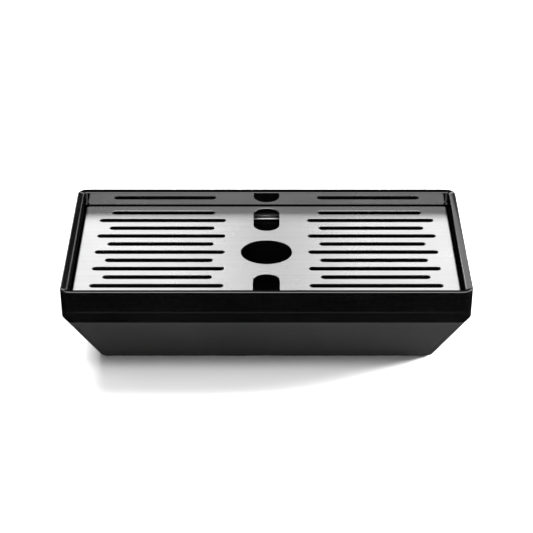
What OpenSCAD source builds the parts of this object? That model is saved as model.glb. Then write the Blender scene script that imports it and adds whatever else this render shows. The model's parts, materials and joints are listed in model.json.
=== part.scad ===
// Countertop drip tray for a beer dispenser: a slotted steel grille in a
// lift-out drip pan, carried by a two-piece housing on four rubber feet.
// Millimetres. +X is the width, -Y the front, +Z up; z = 0 is the worktop.

/* [Overall] */
// Width across the rim
tray_w = 300; // [270:5:340]
// Depth across the rim
tray_d = 170; // [160:2:200]
// Height of the rim above the worktop
tray_h = 69; // [66:1:80]
// Plan radius of the rim corners
corner_r = 7.5; // [7:0.5:10]
// Draft of the upright outer faces, degrees
draft = 1.2; // [0.4:0.1:1.4]
// Lean of the sloping sides from the vertical, degrees
side_lean = 28.2; // [24:0.2:29]

/* [Rim and pan] */
// Width of the flat top of the rim
rim_w = 5.1; // [5:0.1:6]
// Fall of the rim's top from its outer to its inner edge
rim_fall = 1; // [0.2:0.1:1.2]
// Depth of the turned-down skirt of the rim
skirt_h = 16.4; // [15:0.1:17]
// Thickness of the skirt and of the upright pan wall
skirt_t = 1.6; // [1.4:0.1:1.8]
// Thickness of the sloping pan wall and of the pan floor
pan_t = 1.4; // [1.2:0.1:1.6]
// Distance of the ledge's inner edge from the rim's outer face
ledge_in = 17; // [16:0.5:20]

/* [Housing] */
// Depth below the rim at which the sides start to slope
slope_drop = 23.2; // [22.5:0.1:23.6]
// Depth below the rim of the joint between collar and tub
joint_drop = 27.1; // [26.8:0.1:27.6]
// Housing wall thickness
wall_t = 1.6; // [1.4:0.1:1.8]
// Thickness of the tub floor
floor_t = 2.2; // [2:0.1:2.6]

/* [Grille] */
// Depth of the grille's top face below the rim
deck_drop = 12; // [11:0.5:12]
// Sheet thickness
sheet_t = 1.2; // [1:0.1:1.5]
// Gap between the grille and the pan wall
grille_gap = 1.6; // [1.4:0.1:2]
// Depth of the folded flange
flange_h = 9.5; // [9:0.5:10.5]
// Width of the flange's inward return
return_w = 4.4; // [4.4:0.1:6.4]
// Pitch of the slot rows
row_pitch = 13.3; // [12.8:0.1:13.8]
// Width of one slot
slot_w = 6.1; // [4.2:0.1:7]
// Length of the slots in the even rows
slot_long = 99; // [90:1:100]
// Length of the slots in the odd rows
slot_short = 81.5; // [70:0.5:90]
// Distance from the middle to the centre of each bank of slots
bank_x = 81.4; // [80:0.2:84]
// Diameter of the middle hole
hole_d = 39; // [36:1:42]
// Width of the two finger holes
finger_w = 20; // [18:0.2:22]
// Length of the two finger holes
finger_l = 39.1; // [36:0.1:41]

/* [Fasteners and rubber] */
// Shank diameter of the collar screws
screw_d = 2.5; // [2.2:0.1:2.6]
// Diameter of a rubber foot
foot_d = 11; // [10:0.5:11]
// Height of the feet below the tub floor
foot_h = 0.8; // [0.6:0.1:1.2]

/* [Hidden] */
$fn = 48;
gap = 0.3;
e = 0.01;
hx = tray_w / 2;
hy = tray_d / 2;
td = tan(draft);
t = tan(side_lean);
kn = 1 / cos(side_lean);
z_rim = tray_h;
z_skirt = tray_h - skirt_h;
z_shoulder = z_skirt - 0.4;
z_slope = tray_h - slope_drop;
z_joint = tray_h - joint_drop;
z_deck = tray_h - deck_drop;
z_floor = foot_h;
z_ledge = z_deck - flange_h - 1.1;
z_ledge_u = z_ledge - pan_t;
z_pan = z_floor + floor_t + 0.4;
// collar's screw flange, inside the tub below the joint
flange_drop = 4;
z_flange = z_joint - flange_drop;
flange_t = 1.5;
flange_in = 16.4;
// offsets of the upright layers from the rim's outer face
up_t = rim_w - 2 * skirt_t - 2 * gap;
o_up = skirt_t + gap;
o_up_in = o_up + up_t;
o_pan = o_up_in + gap;
// inset of the outer face where the slope starts
in_slope = slope_drop * td;
// offsets of the sloping layers from the outer face
s_wall = wall_t * kn;
s_pan = s_wall + gap * kn;
s_tongue = s_wall + 0.1;
s_tongue_in = s_tongue + 1.7;
z_wall = z_slope - (o_up_in - s_wall - in_slope) / t;
z_tongue = z_joint + gap + 1;
o_low = ledge_in - pan_t * kn;
gx = hx - rim_w - grille_gap;
gy = hy - rim_w - grille_gap;
rail_x = hx - 13.5;
rail_y = hy - 13.5;
screw_at = [[-95, -rail_y], [0, -rail_y], [95, -rail_y], [rail_x, 0],
            [95, rail_y], [0, rail_y], [-95, rail_y], [-rail_x, 0]];
run = in_slope + (z_slope - z_floor) * t;
foot_at = [[-1, -1], [1, -1], [1, 1], [-1, 1]];
foot_x = hx - run - 7.6;
foot_y = hy - run - 7.6;
finger_edge = 3.9;
pad_x = gx - sheet_t - return_w / 2;
pad_y = gy - sheet_t - return_w / 2;
pad_at = [[-95, -pad_y], [95, -pad_y], [pad_x, -48], [pad_x, 48],
          [95, pad_y], [-95, pad_y], [-pad_x, 48], [-pad_x, -48]];

// distance from the rim's outer edge of the upright and of the sloping outer face,
// and of a bowl face that is o inside the edge at the ledge, at height z
function upright(z) = (z_rim - z) * td;
function inset(z, s) = s + in_slope + (z_slope - z) * t;
function bowl(z, o) = o + (z_ledge - z) * t;

// rounded rectangle, o inside the rim's outline
module outline(o, r) {
  rr = max(r, 0.6);
  a = hx - o;
  b = hy - o;
  square([2 * a - 2 * rr, 2 * b], center = true);
  square([2 * a, 2 * b - 2 * rr], center = true);
  for (i = [-1, 1], j = [-1, 1])
    translate([i * (a - rr), j * (b - rr)]) circle(r = rr);
}

module slab(z0, z1, o, r) {
  translate([0, 0, z0]) linear_extrude(z1 - z0) outline(o, r);
}

// solid between two outlines at two heights
module taper(z0, o0, r0, z1, o1, r1) {
  hull() {
    translate([0, 0, z0]) linear_extrude(e) outline(o0, r0, $fn = 32);
    translate([0, 0, z1 - e]) linear_extrude(e) outline(o1, r1, $fn = 32);
  }
}

module ring(z0, z1, o0, r0, o1, r1) {
  difference() {
    slab(z0, z1, o0, r0);
    slab(z0 - 1, z1 + 1, o1, r1);
  }
}

module slot2(l, w) {
  square([l - w, w], center = true);
  for (i = [-1, 1]) translate([i * (l - w) / 2, 0]) circle(d = w);
}

module plate2() {
  difference() {
    outline(rim_w + grille_gap, corner_r - rim_w);
    circle(d = hole_d, $fn = 96);
    for (j = [-1, 1])
      translate([0, j * (gy - finger_edge - finger_l / 2)])
        rotate(90) slot2(finger_l, finger_w);
    for (k = [-5 : 5], i = [-1, 1])
      translate([i * bank_x, k * row_pitch])
        slot2(k % 2 == 0 ? slot_long : slot_short, slot_w);
  }
}

module grille_plate() {
  o = rim_w + grille_gap;
  r = corner_r - rim_w;
  color("silver") {
    translate([0, 0, z_deck - sheet_t]) linear_extrude(sheet_t) plate2();
    ring(z_deck - flange_h, z_deck - sheet_t, o, r, o + sheet_t, r - sheet_t);
    difference() {
      ring(z_deck - flange_h, z_deck - flange_h + sheet_t, o + sheet_t, r - sheet_t,
           o + sheet_t + return_w, 1);
      for (p = pad_at) translate([p[0], p[1], z_deck - flange_h - 1])
        cylinder(d = 2.6, h = sheet_t + 2);
    }
  }
}

// push-in rubber pad under the grille's return
module grille_pad(p) {
  z = z_deck - flange_h;
  color("dimgray") translate([p[0], p[1], 0]) {
    translate([0, 0, z - 0.8]) cylinder(d = 4.4, h = 0.8);
    translate([0, 0, z - 0.8]) cylinder(d = 2.6, h = sheet_t + 0.8);
    translate([0, 0, z + sheet_t]) cylinder(d1 = 3.4, d2 = 2.2, h = 1.2);
  }
}

// lofted bowl: o inside the edge at the ledge, rounded towards the floor at z0
module loft(z0, o, z1, r0) {
  hull()
    for (q = [[z0, bowl(z0, o) + 3.5, r0 + 1], [z0 + 5, bowl(z0 + 5, o), r0 + 2], [z1, bowl(z1, o), r0]])
      translate([0, 0, q[0]]) linear_extrude(e) outline(q[1], q[2], $fn = 32);
}

module drip_pan() {
  z_foot = z_ledge_u + 1;
  color([0.05, 0.05, 0.05]) difference() {
    union() {
      difference() {
        taper(z_skirt, upright(z_skirt), corner_r, z_rim, 0, corner_r);
        slab(z_skirt - 1, z_rim - skirt_t, skirt_t, corner_r - skirt_t);
      }
      slab(z_foot, z_rim - e, o_pan, corner_r - o_pan);
      taper(z_ledge_u, max(o_pan, inset(z_ledge_u, s_pan)), 4, z_foot, o_pan, corner_r - o_pan);
      loft(z_pan, o_low, z_ledge_u, 7);
    }
    slab(z_ledge, z_rim + 1, rim_w, corner_r - rim_w);
    taper(z_rim - rim_fall, rim_w, corner_r - rim_w, z_rim + e, 0, corner_r);
    loft(z_pan + pan_t, ledge_in, z_ledge, 5.5);
  }
}

module rim_seal() {
  color("dimgray") ring(z_rim - skirt_t - 0.6, z_rim - skirt_t - gap,
    o_up, corner_r - o_up, o_up_in, corner_r - o_up_in);
}

// upper housing shell, with a tongue and a screw flange that sit inside the tub
module housing_collar() {
  z_low = z_joint + gap;
  color([0.07, 0.07, 0.07]) difference() {
    union() {
      taper(z_slope, in_slope, corner_r, z_shoulder, upright(z_shoulder), corner_r);
      slab(z_shoulder, z_rim - skirt_t - 0.6, o_up, corner_r - o_up);
      taper(z_low, inset(z_low, 0), corner_r, z_slope, in_slope, corner_r);
      taper(z_flange, inset(z_flange, s_tongue), 6, z_low, inset(z_low, s_tongue), 6);
    }
    slab(z_wall, z_rim + 1, o_up_in, corner_r - o_up_in);
    taper(z_tongue, inset(z_tongue, s_wall), 5, z_wall + e, o_up_in, corner_r - o_up_in);
    taper(z_flange + flange_t, inset(z_flange + flange_t, s_tongue_in), 5,
          z_tongue + e, inset(z_tongue, s_tongue_in), 5);
    slab(z_flange - 1, z_tongue, flange_in, 4);
    for (p = screw_at) translate([p[0], p[1], z_flange - 1]) cylinder(d = screw_d, h = 6);
  }
}

// thin seal between the rims of collar and tub
module collar_gasket() {
  color("gray") difference() {
    taper(z_joint - gap, inset(z_joint - gap, 0), corner_r,
          z_joint + gap, inset(z_joint + gap, 0), corner_r);
    slab(z_joint - 2, z_joint + 2, inset(z_joint + gap, s_wall), 6);
  }
}

module collar_screw(p) {
  z = z_flange + flange_t;
  color("silver") translate([p[0], p[1], 0]) difference() {
    union() {
      translate([0, 0, z - 6.6]) cylinder(d = screw_d, h = 6.6);
      translate([0, 0, z]) cylinder(d = 4.4, h = 0.6);
      translate([0, 0, z + 0.6]) cylinder(d1 = 4.4, d2 = 3.2, h = 0.5);
    }
    for (a = [0, 90]) rotate(a) translate([0, 0, z + 1]) cube([2.2, 0.6, 1.2], center = true);
  }
}

module housing_tub() {
  z_top = z_joint - gap;
  color([0.16, 0.16, 0.16]) difference() {
    taper(z_floor, inset(z_floor, 0), 7, z_top, inset(z_top, 0), corner_r);
    difference() {
      taper(z_floor + floor_t, inset(z_floor + floor_t, s_wall), 6, z_top + e, inset(z_top, s_wall), 6);
      ring(z_flange - 2, z_flange, -1, corner_r, flange_in, 4);
      for (p = screw_at) translate([p[0], p[1], z_flange - 6.6]) cylinder(d = 5.4, h = 5);
      for (q = foot_at) translate([q[0] * foot_x, q[1] * foot_y, 0]) cylinder(d = 7, h = 9);
    }
    for (p = screw_at) translate([p[0], p[1], z_flange - 5.1]) cylinder(d = screw_d, h = 6);
    for (q = foot_at) translate([q[0] * foot_x, q[1] * foot_y, 0]) {
      cylinder(d = foot_d, h = foot_h + 1);
      cylinder(d = 2.9, h = 8);
    }
  }
}

module foot(q) {
  color([0.1, 0.1, 0.1]) translate([q[0] * foot_x, q[1] * foot_y, 0]) difference() {
    cylinder(d = foot_d, h = foot_h + 1);
    translate([0, 0, -1]) cylinder(d = 5.6, h = 1.9);
    translate([0, 0, -1]) cylinder(d = 2.9, h = 4);
  }
}

module foot_screw(q) {
  color("silver") translate([q[0] * foot_x, q[1] * foot_y, 0]) difference() {
    union() {
      translate([0, 0, 0.2]) cylinder(d = 5.2, h = 0.7);
      translate([0, 0, 0.2]) cylinder(d = 2.9, h = 7.8);
    }
    for (a = [0, 90]) rotate(a) translate([0, 0, 0.2]) cube([2.6, 0.7, 0.7], center = true);
  }
}

grille_plate();
grille_pad(pad_at[0]);  // grille_pad_1
grille_pad(pad_at[1]);  // grille_pad_2
grille_pad(pad_at[2]);  // grille_pad_3
grille_pad(pad_at[3]);  // grille_pad_4
grille_pad(pad_at[4]);  // grille_pad_5
grille_pad(pad_at[5]);  // grille_pad_6
grille_pad(pad_at[6]);  // grille_pad_7
grille_pad(pad_at[7]);  // grille_pad_8
drip_pan();
rim_seal();
housing_collar();
collar_gasket();
collar_screw(screw_at[0]);  // collar_screw_1
collar_screw(screw_at[1]);  // collar_screw_2
collar_screw(screw_at[2]);  // collar_screw_3
collar_screw(screw_at[3]);  // collar_screw_4
collar_screw(screw_at[4]);  // collar_screw_5
collar_screw(screw_at[5]);  // collar_screw_6
collar_screw(screw_at[6]);  // collar_screw_7
collar_screw(screw_at[7]);  // collar_screw_8
housing_tub();
foot(foot_at[0]);  // foot_1
foot(foot_at[1]);  // foot_2
foot(foot_at[2]);  // foot_3
foot(foot_at[3]);  // foot_4
foot_screw(foot_at[0]);  // foot_screw_1
foot_screw(foot_at[1]);  // foot_screw_2
foot_screw(foot_at[2]);  // foot_screw_3
foot_screw(foot_at[3]);  // foot_screw_4
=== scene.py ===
import json
import math

import bmesh
import bpy
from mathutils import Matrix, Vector

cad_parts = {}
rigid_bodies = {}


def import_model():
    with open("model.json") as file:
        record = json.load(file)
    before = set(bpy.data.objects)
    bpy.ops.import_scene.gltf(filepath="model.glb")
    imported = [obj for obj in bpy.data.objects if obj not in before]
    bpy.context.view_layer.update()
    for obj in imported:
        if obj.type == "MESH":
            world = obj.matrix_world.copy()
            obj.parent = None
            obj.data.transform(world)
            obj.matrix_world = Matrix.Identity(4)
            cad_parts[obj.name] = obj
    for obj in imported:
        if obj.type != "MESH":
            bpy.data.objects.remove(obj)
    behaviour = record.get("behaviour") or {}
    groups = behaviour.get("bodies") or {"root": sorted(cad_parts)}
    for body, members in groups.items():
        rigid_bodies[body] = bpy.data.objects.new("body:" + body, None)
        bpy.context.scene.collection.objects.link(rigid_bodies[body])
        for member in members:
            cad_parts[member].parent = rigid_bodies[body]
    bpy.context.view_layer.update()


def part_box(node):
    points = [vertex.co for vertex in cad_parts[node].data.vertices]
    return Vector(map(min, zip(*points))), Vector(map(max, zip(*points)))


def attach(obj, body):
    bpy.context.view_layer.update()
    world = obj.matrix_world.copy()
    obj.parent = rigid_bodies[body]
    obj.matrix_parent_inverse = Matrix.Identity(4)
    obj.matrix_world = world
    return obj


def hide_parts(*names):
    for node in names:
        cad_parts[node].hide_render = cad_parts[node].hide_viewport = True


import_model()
mm = 0.001

# the frame's own levels, in millimetres above the worktop
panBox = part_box("drip_pan")
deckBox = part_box("grille_plate")
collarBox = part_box("housing_collar")
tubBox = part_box("housing_tub")
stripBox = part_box("collar_gasket")
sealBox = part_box("rim_seal")
halfX = panBox[1][0] / mm
halfY = panBox[1][1] / mm
zRim = panBox[1][2] / mm
zDeck = deckBox[1][2] / mm
zReturn = deckBox[0][2] / mm
zTubTop = tubBox[1][2] / mm
zTubLow = tubBox[0][2] / mm
zCollarLow = collarBox[0][2] / mm
zCollarTop = collarBox[1][2] / mm

shell = {
    "draft": 1.2,          # degrees, upright outer faces
    "lean": 28.2,          # degrees from the vertical, sloping faces
    "slopeDrop": 23.2,     # where the sides start to slope, below the rim
    "skirtDrop": 16.4,     # lower edge of the rim's skirt, below the rim
    "cornerRadius": 7.5,
    "rimWidth": 5.1,
    "skirt": 1.6,          # skirt and upright wall thickness
    "gap": 0.3,            # air between pan and housing
    "houseWall": 1.6,
    "ledgeRise": 1.1,      # the grille's lowest level is this far above the pan's ledge
    "flangeIn": 16.4,      # inner edge of the two screw flanges
    "capIn": 12,           # a floor's flat cap starts this far inside its edge
}
slopeRun = math.tan(math.radians(shell["lean"]))
draftRun = math.tan(math.radians(shell["draft"]))
stretch = 1 / math.cos(math.radians(shell["lean"]))
zSlope = zRim - shell["slopeDrop"]
zSkirt = zRim - shell["skirtDrop"]
zLedge = zReturn - shell["ledgeRise"]
upOut = shell["skirt"] + shell["gap"]
upIn = shell["rimWidth"] - shell["skirt"] - shell["gap"]
panOut = upIn + shell["gap"]
wallIn = shell["houseWall"] * stretch
slopeStart = shell["slopeDrop"] * draftRun


def slopeInset(z, offset=0.0):
    return offset + slopeStart + (zSlope - z) * slopeRun


def uprightInset(z):
    return (zRim - z) * draftRun


def filletProfile(corners, closed=False):
    # corners: (inset, z, corner radius, fillet radius); returns (inset, z, corner radius)
    result = []
    count = len(corners)
    for i, (o, z, r, f) in enumerate(corners):
        ends = not closed and i in (0, count - 1)
        if ends or f <= 0:
            result.append((o, z, r))
            continue
        before, after = corners[i - 1], corners[(i + 1) % count]
        here = Vector((o, z, 0))
        toBefore = Vector((before[0], before[1], 0)) - here
        toAfter = Vector((after[0], after[1], 0)) - here
        lenBefore, lenAfter = toBefore.length, toAfter.length
        toBefore.normalize()
        toAfter.normalize()
        half = toBefore.angle(toAfter) / 2
        if half > math.radians(89):
            result.append((o, z, r))
            continue
        cut = min(f / math.tan(half), lenBefore * 0.48, lenAfter * 0.48)
        radius = cut * math.tan(half)
        centre = here + (toBefore + toAfter).normalized() * (radius / math.sin(half))
        start, stop = here + toBefore * cut, here + toAfter * cut
        first, last = start - centre, stop - centre
        a0 = math.atan2(first.y, first.x)
        sweep = math.atan2(first.x * last.y - first.y * last.x, first.dot(last))
        steps = max(2, min(10, round(abs(math.degrees(sweep)) / 12)))
        for k in range(steps + 1):
            angle = a0 + sweep * k / steps
            result.append((centre.x + radius * math.cos(angle),
                           centre.y + radius * math.sin(angle), r))
    return result


def outlineRing(inset, z, radius, steps=12):
    a, b = halfX - inset, halfY - inset
    r = max(radius, 0.4)
    points = []
    for corner, (sx, sy) in enumerate(((1, 1), (-1, 1), (-1, -1), (1, -1))):
        for k in range(steps + 1):
            angle = math.radians(90 * corner + 90 * k / steps)
            points.append((sx * (a - r) + r * math.cos(angle),
                           sy * (b - r) + r * math.sin(angle), z))
    return points


def stadiumRing(length, width, z, grow, steps, turn):
    # a round-ended slot along x, or along y when turned
    r = width / 2 + grow
    straight = (length - width) / 2
    points = []
    for side in (1, -1):
        for k in range(steps + 1):
            if straight < 1e-6 and k == steps:
                continue
            angle = math.radians(-90 + 180 * k / steps) + (math.pi if side < 0 else 0)
            x = side * straight + r * math.cos(angle)
            y = r * math.sin(angle)
            if turn:
                x, y = -y, x
            points.append((x, y, z))
    return points


def meshFromRings(name, rings, closed=False):
    mesh = bpy.data.meshes.new(name)
    bm = bmesh.new()
    rows = [[bm.verts.new((x * mm, y * mm, z * mm)) for x, y, z in ring] for ring in rings]
    pairs = list(zip(rows, rows[1:])) + ([(rows[-1], rows[0])] if closed else [])
    for low, high in pairs:
        count = len(low)
        for i in range(count):
            j = (i + 1) % count
            bm.faces.new((low[i], low[j], high[j], high[i]))
    if not closed:
        bm.faces.new(rows[0])
        bm.faces.new(list(reversed(rows[-1])))
    bmesh.ops.remove_doubles(bm, verts=bm.verts, dist=1e-7)
    bmesh.ops.recalc_face_normals(bm, faces=bm.faces)
    bm.to_mesh(mesh)
    bm.free()
    piece = bpy.data.objects.new(name, mesh)
    bpy.context.scene.collection.objects.link(piece)
    return piece


def sweepPiece(name, corners, closed=False):
    profile = filletProfile(corners, closed)
    return meshFromRings(name, [outlineRing(o, z, r) for o, z, r in profile], closed)


def lathePiece(name, profile, steps=32):
    # profile: (radius, z) from the axis at the bottom to the axis at the top
    rings = [[(r * math.cos(2 * math.pi * k / steps), r * math.sin(2 * math.pi * k / steps), z)
              for k in range(steps)] for r, z in profile]
    return meshFromRings(name, rings)


def bakePiece(piece, name):
    # the evaluated object as a plain mesh, with no modifiers
    bpy.context.view_layer.update()
    graph = bpy.context.evaluated_depsgraph_get()
    mesh = bpy.data.meshes.new_from_object(piece.evaluated_get(graph), depsgraph=graph)
    mesh.name = name
    result = bpy.data.objects.new(name, mesh)
    bpy.context.scene.collection.objects.link(result)
    bpy.data.objects.remove(piece)
    return result


def smoothPiece(piece, angle=40):
    for face in piece.data.polygons:
        face.use_smooth = True
    piece.data.set_sharp_from_angle(angle=math.radians(angle))
    weighted = piece.modifiers.new("weighted", "WEIGHTED_NORMAL")
    weighted.mode = "FACE_AREA"
    weighted.weight = 100
    weighted.keep_sharp = True
    return bakePiece(piece, piece.name)


def finishPiece(piece, material, body, nodes):
    piece.data.materials.clear()
    piece.data.materials.append(material)
    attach(piece, body)
    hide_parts(*nodes)


def newMaterial(name):
    material = bpy.data.materials.new(name)
    material.use_nodes = True
    tree = material.node_tree
    tree.nodes.clear()
    output = tree.nodes.new("ShaderNodeOutputMaterial")
    shader = tree.nodes.new("ShaderNodeBsdfPrincipled")
    tree.links.new(shader.outputs["BSDF"], output.inputs["Surface"])
    coords = tree.nodes.new("ShaderNodeTexCoord")
    return material, tree, shader, coords


def addNoise(tree, coords, scale, detail=3.0, stretchBy=(1, 1, 1), rough=0.55):
    mapping = tree.nodes.new("ShaderNodeMapping")
    mapping.inputs["Scale"].default_value = stretchBy
    noise = tree.nodes.new("ShaderNodeTexNoise")
    noise.inputs["Scale"].default_value = scale
    noise.inputs["Detail"].default_value = detail
    noise.inputs["Roughness"].default_value = rough
    tree.links.new(coords.outputs["Object"], mapping.inputs["Vector"])
    tree.links.new(mapping.outputs["Vector"], noise.inputs["Vector"])
    return noise


def addRange(tree, source, low, high, fromLow=0.3, fromHigh=0.7):
    node = tree.nodes.new("ShaderNodeMapRange")
    node.inputs["From Min"].default_value = fromLow
    node.inputs["From Max"].default_value = fromHigh
    node.inputs["To Min"].default_value = low
    node.inputs["To Max"].default_value = high
    tree.links.new(source, node.inputs["Value"])
    return node.outputs["Result"]


def addTone(tree, source, dark, light):
    mix = tree.nodes.new("ShaderNodeMix")
    mix.data_type = "RGBA"
    mix.inputs["A"].default_value = (*dark, 1)
    mix.inputs["B"].default_value = (*light, 1)
    tree.links.new(source, mix.inputs["Factor"])
    return mix.outputs["Result"]


def addBump(tree, source, shader, strength, distance):
    bump = tree.nodes.new("ShaderNodeBump")
    bump.inputs["Strength"].default_value = strength
    bump.inputs["Distance"].default_value = distance
    tree.links.new(source, bump.inputs["Height"])
    tree.links.new(bump.outputs["Normal"], shader.inputs["Normal"])


def grey(value):
    return (value, value, value)


steelLook = {
    "tone": (0.70, 0.76),
    "flangeShadeTone": 0.06,      # painted shade inside the folded flange: near-black colour standing in for the shade under the grille's edge
    "flangeShadeFrom": 1.3,       # painted shade from this far above the grille's lowest level
    "flangeShadeTo": 1.3,         # and up to this far below its top
    "blendLow": 0.4,       # height over which the painted shade turns to the steel's tone, at the bottom and at the top
    "blendHigh": 0.1,
    "roughness": (0.26, 0.30),
    "grain": 500,
    "grainStretch": (0.012, 1, 1),
    "cloud": 18,
    "bump": 0.006,
    "bumpDepth": 0.00002,
}


def makeSteel():
    look = steelLook
    material, tree, shader, coords = newMaterial("brushedStainless")
    grain = addNoise(tree, coords, look["grain"], 4, look["grainStretch"], 0.6)
    cloud = addNoise(tree, coords, look["cloud"], 2)
    shader.inputs["Metallic"].default_value = 1
    tone = addTone(tree, addRange(tree, grain.outputs["Fac"], 0, 1),
                   grey(look["tone"][0]), grey(look["tone"][1]))
    height = tree.nodes.new("ShaderNodeSeparateXYZ")
    tree.links.new(coords.outputs["Object"], height.inputs[0])
    # painted shade: a height mask gives the folded flange a near-black tone in place of the steel's
    # grain
    low = (zReturn + look["flangeShadeFrom"]) * mm
    high = (zDeck - look["flangeShadeTo"]) * mm
    above = addRange(tree, height.outputs["Z"], 0, 1, high, high + look["blendHigh"] * mm)
    below = addRange(tree, height.outputs["Z"], 1, 0, low, low + look["blendLow"] * mm)
    bright = tree.nodes.new("ShaderNodeMath")
    bright.operation = "MAXIMUM"
    tree.links.new(above, bright.inputs[0])
    tree.links.new(below, bright.inputs[1])
    flangeShadeMix = tree.nodes.new("ShaderNodeMix")
    flangeShadeMix.data_type = "RGBA"
    flangeShadeMix.inputs["A"].default_value = (*grey(look["flangeShadeTone"]), 1)
    tree.links.new(tone, flangeShadeMix.inputs["B"])
    tree.links.new(bright.outputs[0], flangeShadeMix.inputs["Factor"])
    tree.links.new(flangeShadeMix.outputs["Result"], shader.inputs["Base Color"])
    tree.links.new(addRange(tree, cloud.outputs["Fac"], *look["roughness"]),
                   shader.inputs["Roughness"])
    addBump(tree, grain.outputs["Fac"], shader, look["bump"], look["bumpDepth"])
    return material


# grainDepth is in metres; the high index makes the pan mirror like a lacquered part
plasticLooks = {
    "polishedPan": {"tone": (0.002, 0.003), "roughness": (0.04, 0.06), "grain": 350,
                    "grainDepth": 0.000003, "index": 2.5},
    # painted shade: a darker, rough, barely reflecting copy of the pan's plastic, used inside the pan
    # below the grille in place of its shade
    "mattPanInside": {"tone": (0.0012, 0.002), "roughness": (0.7, 0.85), "grain": 900,
                      "grainDepth": 0.00004, "index": 1.1},
    "polishedCollar": {"tone": (0.002, 0.003), "roughness": (0.06, 0.09), "grain": 350,
                       "grainDepth": 0.000004, "index": 1.5},
    "satinTub": {"tone": (0.025, 0.03), "roughness": (0.42, 0.5), "grain": 2600,
                 "grainDepth": 0.00003, "index": 1.5},
    "sealRubber": {"tone": (0.03, 0.04), "roughness": (0.5, 0.65), "grain": 1500,
                   "grainDepth": 0.00002, "index": 1.5},
    "padRubber": {"tone": (0.02, 0.03), "roughness": (0.6, 0.75), "grain": 1500,
                  "grainDepth": 0.00003, "index": 1.5},
    "footRubber": {"tone": (0.015, 0.022), "roughness": (0.6, 0.75), "grain": 1500,
                   "grainDepth": 0.00003, "index": 1.5},
}
plasticCloud = 22
plasticBump = 0.3


def makePlastic(name):
    look = plasticLooks[name]
    material, tree, shader, coords = newMaterial(name)
    grain = addNoise(tree, coords, look["grain"], 3)
    cloud = addNoise(tree, coords, plasticCloud, 3)
    tone = addTone(tree, addRange(tree, cloud.outputs["Fac"], 0, 1),
                   grey(look["tone"][0]), grey(look["tone"][1]))
    tree.links.new(tone, shader.inputs["Base Color"])
    tree.links.new(addRange(tree, cloud.outputs["Fac"], *look["roughness"]),
                   shader.inputs["Roughness"])
    shader.inputs["IOR"].default_value = look["index"]
    addBump(tree, grain.outputs["Fac"], shader, plasticBump, look["grainDepth"])
    return material


screwLook = {
    "tone": (0.42, 0.6),
    "roughness": (0.22, 0.4),
    "cloud": 900,
    "bump": 0.1,
    "bumpDepth": 0.00002,
}


def makeScrewSteel():
    look = screwLook
    material, tree, shader, coords = newMaterial("zincScrew")
    cloud = addNoise(tree, coords, look["cloud"], 3)
    shader.inputs["Metallic"].default_value = 1
    tree.links.new(addTone(tree, cloud.outputs["Fac"], grey(look["tone"][0]), grey(look["tone"][1])),
                   shader.inputs["Base Color"])
    tree.links.new(addRange(tree, cloud.outputs["Fac"], *look["roughness"]),
                   shader.inputs["Roughness"])
    addBump(tree, cloud.outputs["Fac"], shader, look["bump"], look["bumpDepth"])
    return material


steel = makeSteel()
panGloss = makePlastic("polishedPan")
panShadeMaterial = makePlastic("mattPanInside")
collarGloss = makePlastic("polishedCollar")
tubSatin = makePlastic("satinTub")
sealRubber = makePlastic("sealRubber")
padRubber = makePlastic("padRubber")
footRubber = makePlastic("footRubber")
zinc = makeScrewSteel()
print("materials made")


r = shell["cornerRadius"]
rimW = shell["rimWidth"]


def nodeCentres(label, count):
    spots = []
    for i in range(1, count + 1):
        low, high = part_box(f"{label}_{i}")
        spots.append(((low[0] + high[0]) / 2 / mm, (low[1] + high[1]) / 2 / mm, 0))
    return spots


panShape = {
    "wall": 1.4,
    "ledgeIn": 17.0,       # inner edge of the ledge under the grille
    "rimFall": 1.0,        # the rim's top falls this much towards the inside
    "underRim": 0.3,       # extra thickness under the rim's top
    "shadeAbove": 0.7,      # painted shade up to this far above the grille, polished from there
    "wallSlack": 0.1,      # a face this close to the inner wall counts as inside
    "capIn": 14,           # the bowl's flat floor is closed from this far inside its edge
}
panWall = panShape["wall"]
ledgeIn = panShape["ledgeIn"]
zPanLow = panBox[0][2] / mm
zPanFloor = zPanLow + panWall
zLedgeUnder = zLedge - panWall
lowOut = ledgeIn - panWall * stretch
zShadeTop = zDeck + panShape["shadeAbove"]
zRimUnder = zRim - shell["skirt"] - panShape["underRim"]


def bowlInset(z, edge):
    return edge + (zLedge - z) * slopeRun


# each row of a profile: inset from the outline, height, corner radius, fillet radius
panCorners = [
    (bowlInset(zPanFloor, ledgeIn) + panShape["capIn"], zPanFloor, 4, 0),
    (bowlInset(zPanFloor, ledgeIn), zPanFloor, 7, 8),
    (ledgeIn, zLedge, 5.5, 1.2),
    (rimW, zLedge, 2.4, 1.4),
    (rimW, zShadeTop, r - rimW, 0),
    (rimW, zRim - panShape["rimFall"], r - rimW, 0.6),
    (0, zRim, r, 0.7),
    (uprightInset(zSkirt), zSkirt, r, 0.35),
    (shell["skirt"], zSkirt, r - shell["skirt"], 0.2),
    (shell["skirt"], zRimUnder, r - shell["skirt"], 0.4),
    (panOut, zRimUnder, r - panOut, 0.3),
    (panOut, zLedgeUnder, 4, 0.5),
    (bowlInset(zLedgeUnder, lowOut), zLedgeUnder, 7, 0.8),
    (bowlInset(zPanLow, lowOut), zPanLow, 8, 9),
    (bowlInset(zPanLow, lowOut) + panShape["capIn"], zPanLow, 4, 0),
]
pan = smoothPiece(sweepPiece("dripPan", panCorners))
finishPiece(pan, panGloss, "pan", ["drip_pan"])
pan.data.materials.append(panShadeMaterial)
# painted shade: faces inside the pan below the grille take the darker, barely reflecting copy
for face in pan.data.polygons:
    x, y, z = face.center / mm
    if z < zShadeTop and min(halfX - abs(x), halfY - abs(y)) > rimW - panShape["wallSlack"]:
        face.material_index = 1

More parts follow.
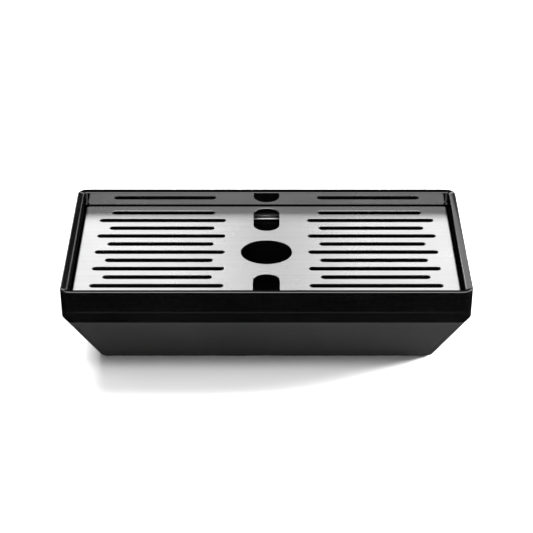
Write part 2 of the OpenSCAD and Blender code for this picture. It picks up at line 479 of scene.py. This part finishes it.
collarShape = {
    "shoulderDrop": 0.4,   # shadow gap under the pan's skirt
    "jointRise": 0.6,      # the outer face ends this far above the tub's
    "flange": 1.5,         # thickness of the screw flange
    "tongue": 1.7,         # thickness of the tongue that reaches down inside the tub
    "tongueGap": 0.1,
    "tongueRoot": 1,       # the tongue starts this far above the joint
}
zShoulder = zSkirt - collarShape["shoulderDrop"]
zJoint = zTubTop + collarShape["jointRise"]
zFlangeTop = zCollarLow + collarShape["flange"]
zTongue = zJoint + collarShape["tongueRoot"]
tongueOut = wallIn + collarShape["tongueGap"]
tongueIn = tongueOut + collarShape["tongue"]
collarCorners = [
    (uprightInset(zShoulder), zShoulder, r, 0.6),
    (slopeStart, zSlope, r, 1.2),
    (slopeInset(zJoint), zJoint, r, 0.3),
    (slopeInset(zJoint, tongueOut), zJoint, 6, 0.1),
    (slopeInset(zCollarLow, tongueOut), zCollarLow, 6, 0.4),
    (shell["flangeIn"], zCollarLow, 4, 0.2),
    (shell["flangeIn"], zFlangeTop, 4, 0.3),
    (slopeInset(zFlangeTop, tongueIn), zFlangeTop, 5, 0.5),
    (slopeInset(zTongue, tongueIn), zTongue, 5, 0.3),
    (slopeInset(zTongue, wallIn), zTongue, 5, 0.2),
    (upIn, zSlope - (upIn - wallIn - slopeStart) / slopeRun, r - upIn, 1.0),
    (upIn, zCollarTop, r - upIn, 0.2),
    (upOut, zCollarTop, r - upOut, 0.3),
    (upOut, zShoulder, r - upOut, 0.2),
]
collar = smoothPiece(sweepPiece("housingCollar", collarCorners, closed=True))
finishPiece(collar, collarGloss, "housing", ["housing_collar"])

tubShape = {
    "floor": 2.2,
    "flange": 2,           # thickness of the inward flange the screws go into
    "footBoss": [(3.5, 8.7), (3.2, 9.0)],                       # radius, height above the worktop
    "bossRoot": 0.5,       # each foot's boss starts this far above the tub's bottom
    "screwBoss": [(2.5, -6.6), (2.7, -6.4), (2.7, -1)],         # radius, height above the flange's top
    "recessDepth": 1,      # pocket for each rubber foot
}
zHouseFloor = zTubLow + tubShape["floor"]
zFlangeLow = zCollarLow - tubShape["flange"]
tubCorners = [
    (slopeInset(zHouseFloor, wallIn) + shell["capIn"], zHouseFloor, 4, 0),
    (slopeInset(zHouseFloor, wallIn), zHouseFloor, 6, 3),
    (slopeInset(zFlangeLow, wallIn), zFlangeLow, 6, 0.4),
    (shell["flangeIn"], zFlangeLow, 4, 0.3),
    (shell["flangeIn"], zCollarLow, 4, 0.2),
    (slopeInset(zCollarLow, wallIn), zCollarLow, 6, 0.3),
    (slopeInset(zTubTop, wallIn), zTubTop, 6, 0.2),
    (slopeInset(zTubTop), zTubTop, r, 0.35),
    (slopeInset(zTubLow), zTubLow, 7, 1.0),
    (slopeInset(zTubLow) + shell["capIn"], zTubLow, 4, 0),
]
tub = sweepPiece("housingTub", tubCorners)
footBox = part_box("foot_1")
footRadius = (footBox[1][0] - footBox[0][0]) / 2 / mm
feet, screws = nodeCentres("foot", 4), nodeCentres("collar_screw", 8)
bossRow = (tubShape["footBoss"][0][0], zTubLow + tubShape["bossRoot"])
additions = [
    (feet, "UNION", [bossRow, *tubShape["footBoss"]]),
    (feet, "DIFFERENCE", [(footRadius, -1), (footRadius, zTubLow + tubShape["recessDepth"])]),
    (screws, "UNION", [(radius, zCollarLow + rise) for radius, rise in tubShape["screwBoss"]]),
]
for places, operation, profile in additions:
    for index, (x, y, z) in enumerate(places):
        part = lathePiece(f"tubPart{operation}{len(places)}{index}", profile, 32)
        for vertex in part.data.vertices:
            vertex.co += Vector((x, y, z)) * mm
        cut = tub.modifiers.new("cut", "BOOLEAN")
        cut.object = part
        cut.operation = operation
        cut.solver = "EXACT"
tub = smoothPiece(bakePiece(tub, "housingTub"))
for extra in [piece for piece in bpy.data.objects if piece.name.startswith("tubPart")]:
    bpy.data.objects.remove(extra)
finishPiece(tub, tubSatin, "housing", ["housing_tub"])

stripIn = 0.02             # the joint strip lies this far behind the outer faces
zStripLow, zStripTop = stripBox[0][2] / mm, stripBox[1][2] / mm
strip = smoothPiece(sweepPiece("jointStrip", [
    (slopeInset(zStripTop, stripIn), zStripTop, r, 0.1),
    (slopeInset(zStripLow, stripIn), zStripLow, r, 0.1),
    (slopeInset(zStripTop, wallIn), zStripLow, 6, 0),
    (slopeInset(zStripTop, wallIn), zStripTop, 6, 0)], closed=True))
finishPiece(strip, sealRubber, "housing", ["collar_gasket"])

zSealLow, zSealTop = sealBox[0][2] / mm, sealBox[1][2] / mm
seal = smoothPiece(sweepPiece("rimSeal", [
    (upOut, zSealTop, r - upOut, 0.12), (upOut, zSealLow, r - upOut, 0),
    (upIn, zSealLow, r - upIn, 0), (upIn, zSealTop, r - upIn, 0.12)], closed=True))
finishPiece(seal, sealRubber, "housing", ["rim_seal"])
print("shells made")


def newTree(name, inputs):
    tree = bpy.data.node_groups.new(name, "GeometryNodeTree")
    tree.interface.new_socket("Geometry", in_out="INPUT", socket_type="NodeSocketGeometry")
    for label, kind in inputs:
        tree.interface.new_socket(label, in_out="INPUT", socket_type=kind)
    tree.interface.new_socket("Geometry", in_out="OUTPUT", socket_type="NodeSocketGeometry")
    return tree, tree.nodes.new("NodeGroupInput"), tree.nodes.new("NodeGroupOutput")


def useTree(piece, tree, values):
    modifier = piece.modifiers.new(tree.name, "NODES")
    modifier.node_group = tree
    for item in tree.interface.items_tree:
        if item.in_out == "INPUT" and item.name in values:
            modifier[item.identifier] = values[item.name]


def makeCopiesTree():
    tree, source, sink = newTree("copiesOnPoints", [("Unit", "NodeSocketObject"),
                                                    ("Material", "NodeSocketMaterial")])
    unit = tree.nodes.new("GeometryNodeObjectInfo")
    place = tree.nodes.new("GeometryNodeInstanceOnPoints")
    real = tree.nodes.new("GeometryNodeRealizeInstances")
    paint = tree.nodes.new("GeometryNodeSetMaterial")
    link = tree.links.new
    link(source.outputs["Unit"], unit.inputs["Object"])
    link(source.outputs["Geometry"], place.inputs["Points"])
    link(unit.outputs["Geometry"], place.inputs["Instance"])
    link(place.outputs["Instances"], real.inputs["Geometry"])
    link(real.outputs["Geometry"], paint.inputs["Geometry"])
    link(source.outputs["Material"], paint.inputs["Material"])
    link(paint.outputs["Geometry"], sink.inputs["Geometry"])
    return tree


copiesTree = makeCopiesTree()


def repeatPiece(name, unit, label, count, material, body):
    mesh = bpy.data.meshes.new(name)
    mesh.from_pydata([(x * mm, y * mm, z * mm) for x, y, z in nodeCentres(label, count)], [], [])
    carrier = bpy.data.objects.new(name + "Points", mesh)
    bpy.context.scene.collection.objects.link(carrier)
    useTree(carrier, copiesTree, {"Unit": unit, "Material": material})
    piece = bakePiece(carrier, name)
    bpy.data.objects.remove(unit)
    piece = smoothPiece(piece, 35)
    finishPiece(piece, material, body, [f"{label}_{i}" for i in range(1, count + 1)])


def crossedHead(name, profile, recess, z, depth):
    # a turned screw with a cross recess cut at height z
    unit = lathePiece(name, profile, 28)
    cutters = []
    for turn, (a, b) in enumerate((recess, recess[::-1])):
        ring = [(-a / 2, -b / 2), (a / 2, -b / 2), (a / 2, b / 2), (-a / 2, b / 2)]
        cutter = meshFromRings(f"{name}Cross{turn}", [[(x, y, z - depth) for x, y in ring],
                                                      [(x, y, z + depth) for x, y in ring]])
        cut = unit.modifiers.new("cross", "BOOLEAN")
        cut.object = cutter
        cut.operation = "DIFFERENCE"
        cut.solver = "EXACT"
        cutters.append(cutter)
    unit = bakePiece(unit, name)
    for cutter in cutters:
        bpy.data.objects.remove(cutter)
    return unit


def spanProfile(box, shape):
    # rows of (radius, height): "low" rows count up from the box's bottom, "high" rows from its top
    return ([(radius, box[0][2] / mm + rise) for radius, rise in shape["low"]]
            + [(radius, box[1][2] / mm + rise) for radius, rise in shape["high"]])


collarScrew = {
    "low": [(1.0, 0), (1.25, 0.4)],
    "high": [(1.25, -1.1), (2.1, -1.1), (2.2, -1.0), (2.2, -0.6), (2.0, -0.3), (1.6, -0.08), (1.1, 0)],
    "recess": (2.2, 0.6),
    "recessDepth": 0.6,
}
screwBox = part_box("collar_screw_1")
collarScrewUnit = crossedHead("collarScrewUnit", spanProfile(screwBox, collarScrew),
                              collarScrew["recess"], screwBox[1][2] / mm, collarScrew["recessDepth"])
repeatPiece("collarScrews", collarScrewUnit, "collar_screw", 8, zinc, "housing")

# heights above the worktop; the first and last rows lie against the tub
rubberFoot = [(1.45, 0.9), (2.8, 0.9), (2.8, 0.1), (2.95, 0), (5.1, 0), (5.4, 0.12), (5.5, 0.4)]
footTop = footBox[1][2] / mm
footUnit = lathePiece("footUnit", [(rubberFoot[0][0], footTop), *rubberFoot,
                                   (rubberFoot[-1][0], footTop)], 40)
repeatPiece("rubberFeet", footUnit, "foot", 4, footRubber, "housing")

footScrew = {
    "profile": [(1.0, 8.0), (1.4, 7.4), (1.4, 0.9), (2.6, 0.9), (2.6, 0.45), (2.4, 0.25), (1.9, 0.2)],
    "recess": (2.6, 0.7),
    "recessDepth": 0.35,
}
footScrewUnit = crossedHead("footScrewUnit", footScrew["profile"], footScrew["recess"],
                            footScrew["profile"][-1][1], footScrew["recessDepth"])
repeatPiece("footScrews", footScrewUnit, "foot_screw", 4, zinc, "housing")

grillePad = {
    "low": [(1.9, 0), (2.1, 0.06), (2.2, 0.2), (2.2, 0.8), (1.3, 0.8)],
    "high": [(1.3, -1.2), (1.7, -1.2), (1.6, -0.6), (1.1, 0)],
}
padUnit = lathePiece("padUnit", spanProfile(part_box("grille_pad_1"), grillePad), 28)
repeatPiece("grillePads", padUnit, "grille_pad", 8, padRubber, "grille")
print("small parts made")

grille = {
    "sheet": 1.2,
    "returnWidth": 4.4,
    "bend": 0.8,           # inside radius between flange and return
    "returnRound": 1.1,    # rounding of the return's free edge
    "flangeRound": 2.6,    # outside rounding between flange and return
    "capIn": (3, 5),       # top and underside are closed from this far inside the edge
    "pitch": 13.3,
    "rows": 11,
    "bankX": 81.4,
    "slotWidth": 6.1,
    "slotLong": 99.0,
    "slotShort": 81.5,
    "holeDiameter": 39.0,
    "fingerWidth": 20.0,
    "fingerLength": 39.1,
    "fingerEdge": 3.9,
    "edgeRound": 0.35,     # rolled edge of each opening
    "fold": 1.2,           # rounding between the top and the flange
}
plateInset = halfX - deckBox[1][0] / mm
plateRadius = r - rimW
sheet = grille["sheet"]
bend = grille["bend"]
innerBend = [(plateInset + sheet + bend * (1 - math.sin(math.radians(a))),
              zReturn + sheet + bend * (1 - math.cos(math.radians(a))), plateRadius - sheet, 0)
             for a in range(0, 91, 10)]
edgeRadius = grille["returnRound"]
returnInset = plateInset + sheet + grille["returnWidth"]
returnEdge = [(returnInset - edgeRadius * (1 - math.cos(math.radians(a))),
               zReturn + sheet - edgeRadius * (1 - math.sin(math.radians(a))), 1, 0)
              for a in range(0, 91, 10)]
blankCorners = [
    (plateInset + grille["capIn"][0], zDeck, plateRadius, 0),
    (plateInset, zDeck, plateRadius, grille["fold"]),
    (plateInset, zReturn, plateRadius, grille["flangeRound"]),
    (returnInset, zReturn, 1, 0.25),
    *returnEdge,
    *innerBend,
    (plateInset + sheet, zDeck - sheet, plateRadius - sheet, 0.6),
    (plateInset + grille["capIn"][1], zDeck - sheet, plateRadius - sheet, 0),
]
blank = sweepPiece("grilleBlank", blankCorners)


def cutterPiece(name, length, width, steps, turn=False):
    e = grille["edgeRound"]
    levels = [(zDeck + 1, e), (zDeck, e)]
    levels += [(zDeck - e + e * math.cos(math.radians(a)), e - e * math.sin(math.radians(a)))
               for a in (22.5, 45, 67.5, 90)]
    levels += [(zDeck - 3, 0)]
    return meshFromRings(name, [stadiumRing(length, width, z, grow, steps, turn)
                                for z, grow in levels])


fingerY = halfY - plateInset - grille["fingerEdge"] - grille["fingerLength"] / 2
slotWidth, hole = grille["slotWidth"], grille["holeDiameter"]
longCutter = cutterPiece("cutterLong", grille["slotLong"], slotWidth, 12)
shortCutter = cutterPiece("cutterShort", grille["slotShort"], slotWidth, 12)
holeCutter = cutterPiece("cutterHole", hole, hole, 32)
fingerCutter = cutterPiece("cutterFinger", grille["fingerLength"], grille["fingerWidth"], 32, True)


def makePunchTree():
    tree, source, sink = newTree("punchedSheet", [
        ("Long slot", "NodeSocketObject"), ("Short slot", "NodeSocketObject"),
        ("Middle hole", "NodeSocketObject"), ("Finger hole", "NodeSocketObject"),
        ("Rows", "NodeSocketInt"), ("Row pitch", "NodeSocketFloat"),
        ("Bank distance", "NodeSocketFloat"), ("Finger distance", "NodeSocketFloat"),
        ("Material", "NodeSocketMaterial")])
    link = tree.links.new

    def add(kind, **settings):
        node = tree.nodes.new(kind)
        for key, value in settings.items():
            setattr(node, key, value)
        return node

    def objectGeometry(label):
        info = add("GeometryNodeObjectInfo")
        link(source.outputs[label], info.inputs["Object"])
        return info.outputs["Geometry"]

    def math2(operation, first, second):
        node = add("ShaderNodeMath", operation=operation)
        for socket, value in zip(node.inputs, (first, second)):
            if isinstance(value, (int, float)):
                socket.default_value = value
            else:
                link(value, socket)
        return node.outputs[0]

    rows = source.outputs["Rows"]
    span = math2("MULTIPLY", math2("SUBTRACT", rows, 1), source.outputs["Row pitch"])
    grid = add("GeometryNodeMeshGrid")
    link(math2("MULTIPLY", source.outputs["Bank distance"], 2), grid.inputs["Size X"])
    link(span, grid.inputs["Size Y"])
    grid.inputs["Vertices X"].default_value = 2
    link(rows, grid.inputs["Vertices Y"])
    position = add("GeometryNodeInputPosition")
    split = add("ShaderNodeSeparateXYZ")
    link(position.outputs[0], split.inputs[0])
    row = math2("ROUND", math2("DIVIDE", split.outputs["Y"], source.outputs["Row pitch"]), 0)
    odd = math2("ROUND", math2("FLOORED_MODULO", row, 2), 0)
    longPlace = add("GeometryNodeInstanceOnPoints")
    shortPlace = add("GeometryNodeInstanceOnPoints")
    for place, choice, label in ((longPlace, math2("SUBTRACT", 1, odd), "Long slot"),
                                 (shortPlace, odd, "Short slot")):
        link(grid.outputs["Mesh"], place.inputs["Points"])
        link(choice, place.inputs["Selection"])
        link(objectGeometry(label), place.inputs["Instance"])
    fingerLine = add("GeometryNodeMeshLine", mode="END_POINTS")
    startAt = add("ShaderNodeCombineXYZ")
    stopAt = add("ShaderNodeCombineXYZ")
    link(math2("MULTIPLY", source.outputs["Finger distance"], -1), startAt.inputs["Y"])
    link(source.outputs["Finger distance"], stopAt.inputs["Y"])
    fingerLine.inputs["Count"].default_value = 2
    link(startAt.outputs[0], fingerLine.inputs["Start Location"])
    link(stopAt.outputs[0], fingerLine.inputs["Offset"])
    fingerPlace = add("GeometryNodeInstanceOnPoints")
    link(fingerLine.outputs["Mesh"], fingerPlace.inputs["Points"])
    link(objectGeometry("Finger hole"), fingerPlace.inputs["Instance"])
    join = add("GeometryNodeJoinGeometry")
    for output in (longPlace.outputs["Instances"], shortPlace.outputs["Instances"],
                   fingerPlace.outputs["Instances"], objectGeometry("Middle hole")):
        link(output, join.inputs["Geometry"])
    real = add("GeometryNodeRealizeInstances")
    link(join.outputs["Geometry"], real.inputs["Geometry"])
    punch = add("GeometryNodeMeshBoolean", operation="DIFFERENCE", solver="EXACT")
    link(source.outputs["Geometry"], punch.inputs["Mesh 1"])
    link(real.outputs["Geometry"], punch.inputs["Mesh 2"])
    last = add("GeometryNodeRealizeInstances")
    paint = add("GeometryNodeSetMaterial")
    link(punch.outputs["Mesh"], last.inputs["Geometry"])
    link(last.outputs["Geometry"], paint.inputs["Geometry"])
    link(source.outputs["Material"], paint.inputs["Material"])
    link(paint.outputs["Geometry"], sink.inputs["Geometry"])
    return tree


useTree(blank, makePunchTree(), {
    "Long slot": longCutter, "Short slot": shortCutter, "Middle hole": holeCutter,
    "Finger hole": fingerCutter, "Rows": grille["rows"], "Row pitch": grille["pitch"] * mm,
    "Bank distance": grille["bankX"] * mm, "Finger distance": fingerY * mm, "Material": steel})
plate = bakePiece(blank, "grillePlate")
for cutter in (longCutter, shortCutter, holeCutter, fingerCutter):
    bpy.data.objects.remove(cutter)
plate = smoothPiece(plate)
finishPiece(plate, steel, "grille", ["grille_plate"])
print("grille punched:", len(plate.data.polygons), "faces")

studio = {
    "cameraAt": (0.0, -1.3488, 0.77),
    "pitch": 28.28,        # degrees the camera looks down
    "lens": 135.16,
    "floorReach": 6.0,
    "floorTone": 0.9,
    "airGlow": 1.1,        # seen by the camera only
    "boxesAim": (0, 0, 0.05),
    "boxReach": 2.0,       # distance of every softbox from that point
}
# turn (degrees from straight behind towards the right), rise, width, height, glow
glossBoxes = {
    # side by side behind the tray: the rim mirrors the gap, the brushed grille blends them
    "backLeft": (-11.2, 27, 0.554, 0.74, 1.58),
    "backHalf": (-1.3, 27, 0.062, 0.74, 0.8),
    "backRight": (11.2, 27, 0.554, 0.74, 1.55),
    "frontPanel": (180, 27, 0.95, 0.36, 2.25),
    "lowLeft": (-42, 10, 1.3, 0.5, 5.0),
    "highRight": (50, 40, 0.9, 0.9, 2.5),
    "topBox": (0, 90, 2.4, 2.4, 1.9),
}
# these light only the floor and the matt sides, and leave no glints
floorBoxes = {
    "keyRight": (78, 17, 0.45, 0.6, 175),
    "keyLeft": (-42, 53, 0.5, 1.0, 35),
    "frontTop": (180, 72, 1.6, 0.6, 4.2),
    "frontFill": (180, 12, 2.0, 0.6, 4.5),
}
scene = bpy.context.scene
scene.view_settings.view_transform = "Standard"

cameraData = bpy.data.cameras.new("camera")
cameraData.lens = studio["lens"]
cameraData.sensor_width = 36
cameraData.clip_start, cameraData.clip_end = 0.05, 30
camera = bpy.data.objects.new("camera", cameraData)
camera.location = studio["cameraAt"]
camera.rotation_euler = (math.radians(90 - studio["pitch"]), 0, 0)
scene.collection.objects.link(camera)
scene.camera = camera

floorMaterial, _, floorShader, _ = newMaterial("paleFloor")
floorShader.inputs["Base Color"].default_value = (*grey(studio["floorTone"]), 1)
floorShader.inputs["Roughness"].default_value = 0.8
floorShader.inputs["Specular IOR Level"].default_value = 0
far = studio["floorReach"]
floorMesh = bpy.data.meshes.new("floor")
floorMesh.from_pydata([(-far, -far, 0), (far, -far, 0), (far, far, 0), (-far, far, 0)], [],
                      [(0, 1, 2, 3)])
floorMesh.materials.append(floorMaterial)
floor = bpy.data.objects.new("floor", floorMesh)
scene.collection.objects.link(floor)
floor.visible_glossy = False

world = bpy.data.worlds.new("studioAir")
scene.world = world
world.use_nodes = True
nodes, links = world.node_tree.nodes, world.node_tree.links
nodes.clear()
worldOut = nodes.new("ShaderNodeOutputWorld")
seen = nodes.new("ShaderNodeBackground")
seen.inputs["Color"].default_value = (1, 1, 1, 1)
seen.inputs["Strength"].default_value = studio["airGlow"]
unseen = nodes.new("ShaderNodeBackground")
unseen.inputs["Color"].default_value = (1, 1, 1, 1)
unseen.inputs["Strength"].default_value = 0.0
path = nodes.new("ShaderNodeLightPath")
mixed = nodes.new("ShaderNodeMixShader")
links.new(path.outputs["Is Camera Ray"], mixed.inputs[0])
links.new(unseen.outputs[0], mixed.inputs[1])
links.new(seen.outputs[0], mixed.inputs[2])
links.new(mixed.outputs[0], worldOut.inputs["Surface"])


def addSoftbox(name, turn, rise, width, height, glow):
    a, b = math.radians(turn), math.radians(rise)
    away = Vector((math.sin(a) * math.cos(b), math.cos(a) * math.cos(b), math.sin(b)))
    data = bpy.data.lights.new(name, "AREA")
    data.shape = "RECTANGLE"
    data.size, data.size_y = width, height
    data.energy = glow * math.pi * width * height
    lamp = bpy.data.objects.new(name, data)
    lamp.location = Vector(studio["boxesAim"]) + away * studio["boxReach"]
    lamp.rotation_euler = (-away).to_track_quat("-Z", "Y").to_euler()
    scene.collection.objects.link(lamp)
    lamp.visible_camera = False
    return lamp


for boxName, values in glossBoxes.items():
    addSoftbox(boxName, *values)
for boxName, values in floorBoxes.items():
    addSoftbox(boxName, *values).visible_glossy = False
print("studio lit")
